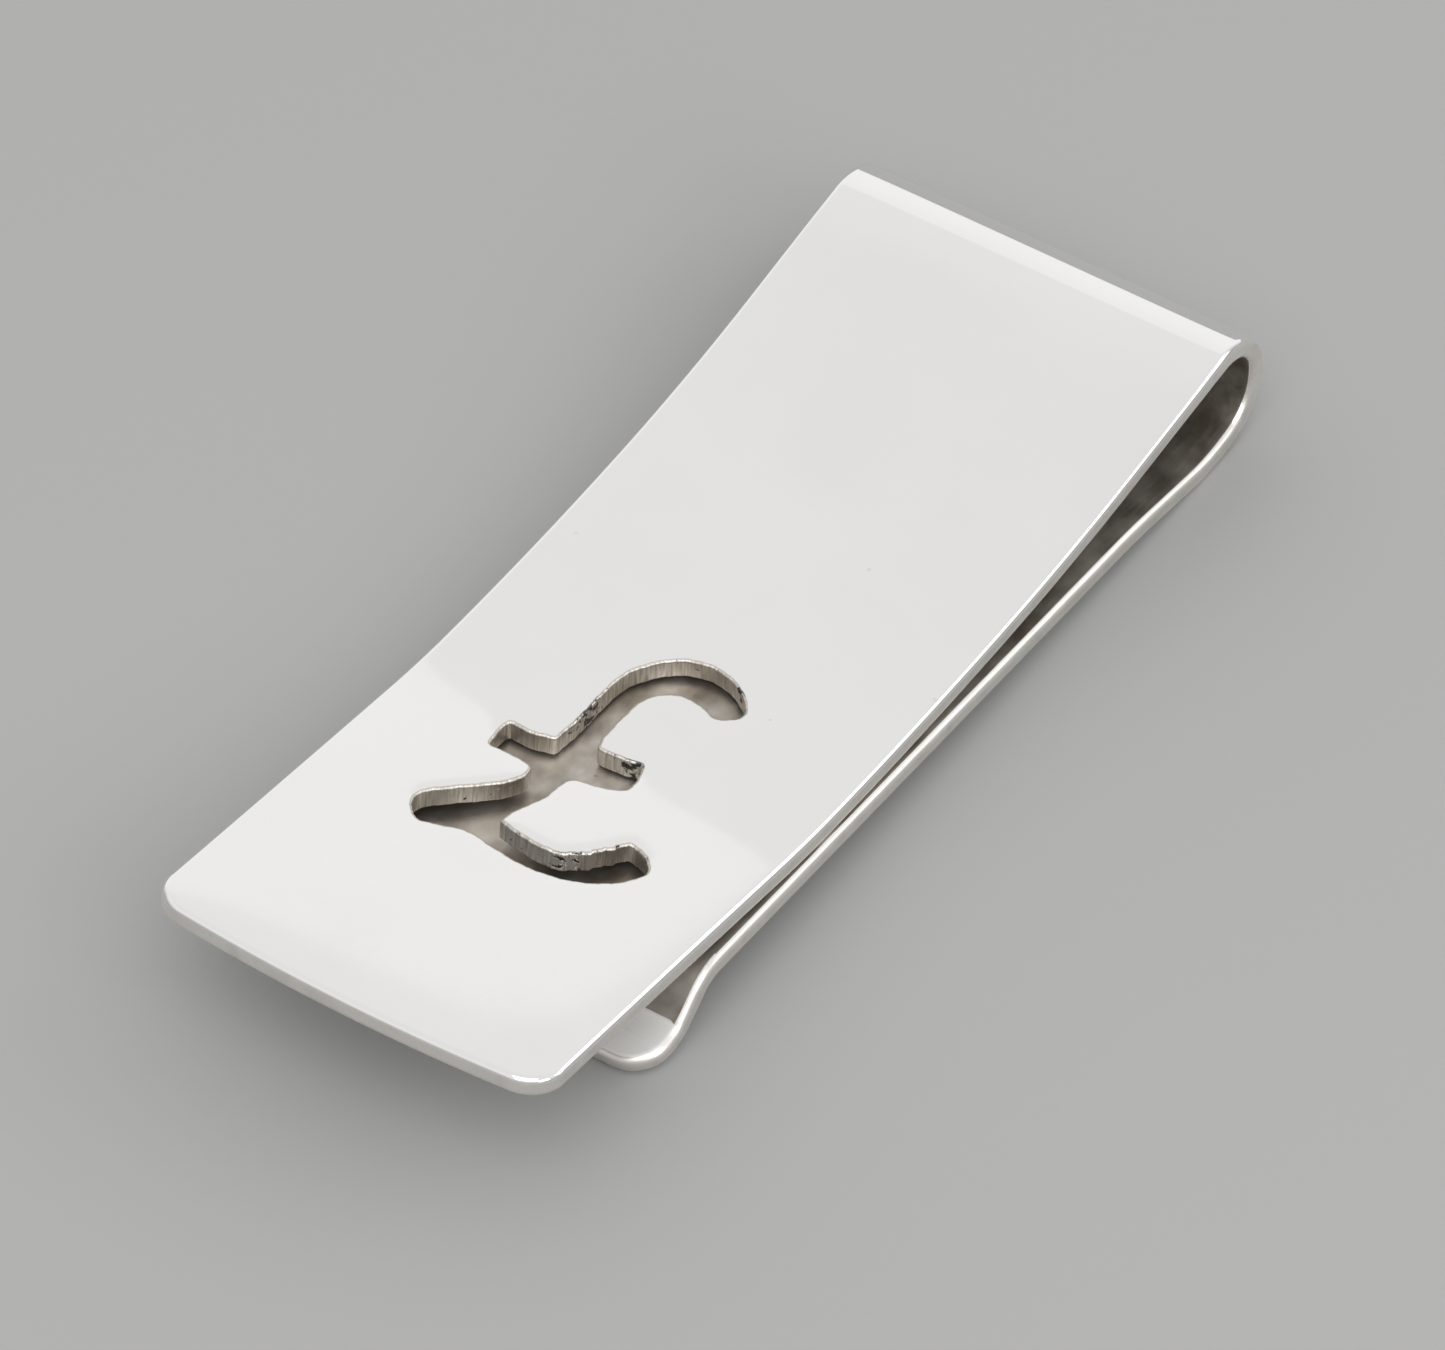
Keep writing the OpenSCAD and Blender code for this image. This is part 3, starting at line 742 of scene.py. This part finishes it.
def makeSawn(p):
    # a sawn wall: bands that stand across the sheet, from noise on the wall's own UV map, where
    # U runs round the outline and V down through the sheet, with dark nicks where the blade dug in
    m = bpy.data.materials.new("sawnSilver")
    m.use_nodes = True
    tree = m.node_tree
    shader = tree.nodes["Principled BSDF"]
    shader.inputs["Metallic"].default_value = 1.0
    uv = addNode(tree, "ShaderNodeTexCoord", -1300, 0)
    bands = addNode(tree, "ShaderNodeMapping", -1100, 100)
    bands.inputs["Scale"].default_value = (p["bandScale"], p["bandDrop"], 1)
    tree.links.new(uv.outputs["UV"], bands.inputs["Vector"])
    fine = addNode(tree, "ShaderNodeTexNoise", -900, 100)
    fine.inputs["Scale"].default_value = 1.0
    fine.inputs["Detail"].default_value = p["bandDetail"]
    fine.inputs["Roughness"].default_value = p["bandRoughness"]
    tree.links.new(bands.outputs[0], fine.inputs["Vector"])
    patch = addNode(tree, "ShaderNodeMapping", -1100, -200)
    patch.inputs["Scale"].default_value = (p["nickScale"], p["nickDrop"], 1)
    tree.links.new(uv.outputs["UV"], patch.inputs["Vector"])
    nicks = addNode(tree, "ShaderNodeTexNoise", -900, -200)
    nicks.inputs["Scale"].default_value = 1.0
    nicks.inputs["Detail"].default_value = p["nickDetail"]
    nicks.inputs["Roughness"].default_value = p["nickRoughness"]
    tree.links.new(patch.outputs[0], nicks.inputs["Vector"])
    nickMask = mapRange(tree, -700, -200, p["nickFrom"], p["nickTo"], 0.0, 1.0)
    torn = addNode(tree, "ShaderNodeAttribute", -900, -450, attribute_name="torn")
    worse = addNode(tree, "ShaderNodeMath", -800, -350, operation="MULTIPLY_ADD")
    tree.links.new(torn.outputs["Fac"], worse.inputs[0])
    worse.inputs[1].default_value = p["tornMore"]
    tree.links.new(nicks.outputs["Fac"], worse.inputs[2])
    tree.links.new(worse.outputs[0], nickMask.inputs["Value"])
    stripe = mapRange(tree, -700, 100, p["bandFrom"], p["bandTo"], 0.0, 1.0)
    tree.links.new(fine.outputs["Fac"], stripe.inputs["Value"])
    tone = addNode(tree, "ShaderNodeMix", -450, 200, data_type="RGBA")
    tone.inputs["A"].default_value = p["shade"]
    tone.inputs["B"].default_value = p["light"]
    tree.links.new(stripe.outputs[0], tone.inputs["Factor"])
    dark = addNode(tree, "ShaderNodeMix", -250, 200, data_type="RGBA")
    dark.inputs["B"].default_value = p["nick"]
    tree.links.new(tone.outputs["Result"], dark.inputs["A"])
    tree.links.new(nickMask.outputs[0], dark.inputs["Factor"])
    tree.links.new(dark.outputs["Result"], shader.inputs["Base Color"])
    rough = mapRange(tree, -450, -50, 0.0, 1.0, p["roughHigh"], p["roughLow"])
    tree.links.new(stripe.outputs[0], rough.inputs["Value"])
    tree.links.new(rough.outputs[0], shader.inputs["Roughness"])
    height = addNode(tree, "ShaderNodeMath", -450, -250, operation="SUBTRACT")
    tree.links.new(fine.outputs["Fac"], height.inputs[0])
    tree.links.new(nickMask.outputs[0], height.inputs[1])
    bump = addNode(tree, "ShaderNodeBump", -250, -250)
    bump.inputs["Strength"].default_value = p["bump"]
    bump.inputs["Distance"].default_value = p["bumpDistance"]
    tree.links.new(height.outputs[0], bump.inputs["Height"])
    tree.links.new(bump.outputs[0], shader.inputs["Normal"])
    return m


sawn = makeSawn({
    "bandScale": 7.0, "bandDrop": 0.5, "bandDetail": 4, "bandRoughness": 0.65,
    "bandFrom": 0.32, "bandTo": 0.68,
    "nickScale": 2.2, "nickDrop": 3.08, "nickDetail": 5, "nickRoughness": 0.6,
    "nickFrom": 0.64, "nickTo": 0.68,
    "tornMore": 0.15,       # how much easier a torn place nicks
    "shade": (0.42, 0.38, 0.33, 1), "light": (0.90, 0.87, 0.82, 1), "nick": (0.07, 0.065, 0.06, 1),
    "roughLow": 0.28, "roughHigh": 0.45, "bump": 0.7, "bumpDistance": 0.00004})
print("materials made")


# pieces

tipEdge = {
    "more": 0.15,           # how much rounder the tip's edge is at its very end
    "from": 2.6,            # how far from the end that sets in, and over what length
    "over": 0.3,
}


def evenSide(u):
    return np.full(np.shape(u), strip["width"] / 2)


def evenRound(u):
    return np.full(np.shape(u), strip["edgeRound"])


def tipRound(u):
    # a smooth step from the strip's rounding up to the tip's
    return strip["edgeRound"] + tipEdge["more"] / (1 + np.exp((u - tipEdge["from"]) / tipEdge["over"]))


leafPlan = {
    "bow": 90.0,            # radius of the free end
    "corner": 1.8,
    "reach": float(profile["frontEnd"]),
    "side": halfWidth,
    "round": evenRound,
    "grid": 0.4,
    "sFrom": None,          # where on the strip its end is, when that isn't the strip's start
    "line": 0.0,            # how far from the end the inner side's material changes, if it does
    "outerKind": 0,         # the outer side's material, and the inner side's beyond the line
    "beyondLine": 0,
}
tipPlan = {
    "bow": 4000.0,
    "corner": 1.9,
    "reach": float(profile["tipEnd"] - profile["backEnd"]),
    "side": evenSide,
    "round": tipRound,
    "grid": 0.25,
    "sFrom": float(profile["tipEnd"]),
    # past this line the tip's inner face, the ramp, takes the tarnished material: its dark tone there is
    # painted shade and painted reflection
    "line": 3.0,
    "outerKind": 1,
    "beyondLine": 3,
}
bendGrid = (0.1, 0.5)       # spacing along and across the ribbons
backGrid = (0.2, 0.5)

frontLeaf = plate("frontLeaf", leafPlan, signHole(sign), [polished, sawn, filed])
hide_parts("front_leaf")
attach(frontLeaf, "front")

springBend = ribbon("springBend", profile["frontEnd"], profile["bendEnd"], *bendGrid,
                    [polished, tarnishAndShade, filed])
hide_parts("spring_bend")
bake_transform(springBend)

backLeaf = ribbon("backLeaf", profile["bendEnd"], profile["backEnd"], *backGrid, [polished, tarnishAndShade, filed])
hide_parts("back_leaf")
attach(backLeaf, "back")

flaredTip = plate("flaredTip", tipPlan, None, [satin, polished, filed, tarnishAndShade])
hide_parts("flared_tip")
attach(flaredTip, "back")
print("pieces made:", [len(o.data.polygons) for o in (frontLeaf, springBend, backLeaf, flaredTip)])


# studio

studio = {
    "floorTone": (0.41, 0.41, 0.405, 1),
    # [sine of the height above the horizon, brightness]: towards the lit side the walls are bright
    # up to a seam, where a slightly darker ceiling begins, and elsewhere they fade into the room
    "litSide": [(0.0, 0.94), (0.3, 0.93), (0.574, 0.90), (0.581, 0.835), (0.75, 0.82), (1.0, 0.79)],
    "roomSide": [(0.0, 0.37), (0.12, 0.42), (0.35, 0.62), (0.574, 0.86), (0.75, 0.82), (1.0, 0.79)],
    "litWay": (0.86, 0.51, 0.0),
    "litFrom": [0.55, 0.8],     # how much of the lit side's direction there must be for each
    "tentBlue": 0.995,          # a little warmer than white
    "target": Vector((-0.0004, 0.0, 0.005)),
    "floorHalf": 1.5,
    "floorRoughness": 0.9,
    "floorShine": 0.2,
    # [name, direction, distance, size, brightness]
    "softboxes": [
        ["rimLight", (0.62, -0.62, 0.5), 0.5, (0.35, 0.22), 1.0],
        ["nearLight", (-0.25, -0.85, 0.5), 0.5, (0.25, 0.18), 2.2],
        ["topLight", (-0.5, -0.25, 0.83), 0.6, (0.5, 0.5), 1.3],
    ],
}

floorMesh = bpy.data.meshes.new("floor")
edge = studio["floorHalf"]
floorCorners = [(-edge, -edge, 0), (edge, -edge, 0), (edge, edge, 0), (-edge, edge, 0)]
floorMesh.from_pydata(floorCorners, [], [(0, 1, 2, 3)])
floor = bpy.data.objects.new("floor", floorMesh)
bpy.context.scene.collection.objects.link(floor)
floorPaint = bpy.data.materials.new("floorPaint")
floorPaint.use_nodes = True
paint = floorPaint.node_tree.nodes["Principled BSDF"]
paint.inputs["Base Color"].default_value = studio["floorTone"]
paint.inputs["Roughness"].default_value = studio["floorRoughness"]
paint.inputs["Specular IOR Level"].default_value = studio["floorShine"]
floorMesh.materials.append(floorPaint)

world = bpy.data.worlds.new("studioTent")
world.use_nodes = True
tree = world.node_tree
sky = addNode(tree, "ShaderNodeTexCoord", -900, 0)
split = addNode(tree, "ShaderNodeSeparateXYZ", -700, 0)
tree.links.new(sky.outputs["Generated"], split.inputs[0])


def tentRamp(stops, y):
    # brightness up the tent's wall: the stops are joined by straight lines
    ramp = addNode(tree, "ShaderNodeValToRGB", -450, y)
    tree.links.new(split.outputs["Z"], ramp.inputs["Fac"])
    while len(ramp.color_ramp.elements) < len(stops):
        ramp.color_ramp.elements.new(0.5)
    for stop, (at, tone) in zip(ramp.color_ramp.elements, stops):
        stop.position = at
        stop.color = (tone, tone, tone * studio["tentBlue"], 1)
    return ramp


litShare = addNode(tree, "ShaderNodeVectorMath", -700, 300, operation="DOT_PRODUCT")
tree.links.new(sky.outputs["Generated"], litShare.inputs[0])
litShare.inputs[1].default_value = studio["litWay"]
litMask = mapRange(tree, -450, 300, studio["litFrom"][0], studio["litFrom"][1], 0.0, 1.0)
tree.links.new(litShare.outputs["Value"], litMask.inputs["Value"])
tent = addNode(tree, "ShaderNodeMix", -150, 100, data_type="RGBA")
tree.links.new(litMask.outputs[0], tent.inputs["Factor"])
tree.links.new(tentRamp(studio["roomSide"], -200).outputs["Color"], tent.inputs["A"])
tree.links.new(tentRamp(studio["litSide"], 0).outputs["Color"], tent.inputs["B"])
tree.links.new(tent.outputs["Result"], tree.nodes["Background"].inputs["Color"])
bpy.context.scene.world = world
# plain tones, because the default view transform turns bright silver grey
bpy.context.scene.view_settings.view_transform = "Standard"


def softbox(name, direction, distance, size, brightness):
    # brightness is what a mirror would see; the power for it is pi times the area times that
    light = bpy.data.lights.new(name, "AREA")
    light.shape = "RECTANGLE"
    light.size, light.size_y = size
    light.energy = brightness * np.pi * size[0] * size[1]
    lamp = bpy.data.objects.new(name, light)
    bpy.context.scene.collection.objects.link(lamp)
    lamp.location = studio["target"] + Vector(direction).normalized() * distance
    lamp.rotation_euler = (lamp.location - studio["target"]).to_track_quat("Z", "Y").to_euler()
    return lamp


for name, direction, distance, size, brightness in studio["softboxes"]:
    softbox(name, direction, distance, size, brightness)

# camera: level horizon, looking down from the free end's near side with a long lens
view = {
    "sensor": 36,
    "lens": 281.5,
    "near": 0.01,
    "right": Vector((0.5575, -0.8302, 0)),
    "up": Vector((0.5942, 0.3990, 0.6984)),
    "backward": Vector((-0.5798, -0.3893, 0.7157)),
    "place": Vector((-0.28099, -0.1890, 0.3489)),
}
camera = bpy.data.objects.new("camera", bpy.data.cameras.new("camera"))
camera.data.sensor_width = view["sensor"]
camera.data.lens = view["lens"]
camera.data.clip_start = view["near"]
columns = [view[key].to_4d() for key in ("right", "up", "backward", "place")]
for column in columns[:3]:
    column.w = 0
camera.matrix_world = Matrix(columns).transposed()
bpy.context.scene.collection.objects.link(camera)
bpy.context.scene.camera = camera
print("studio set")
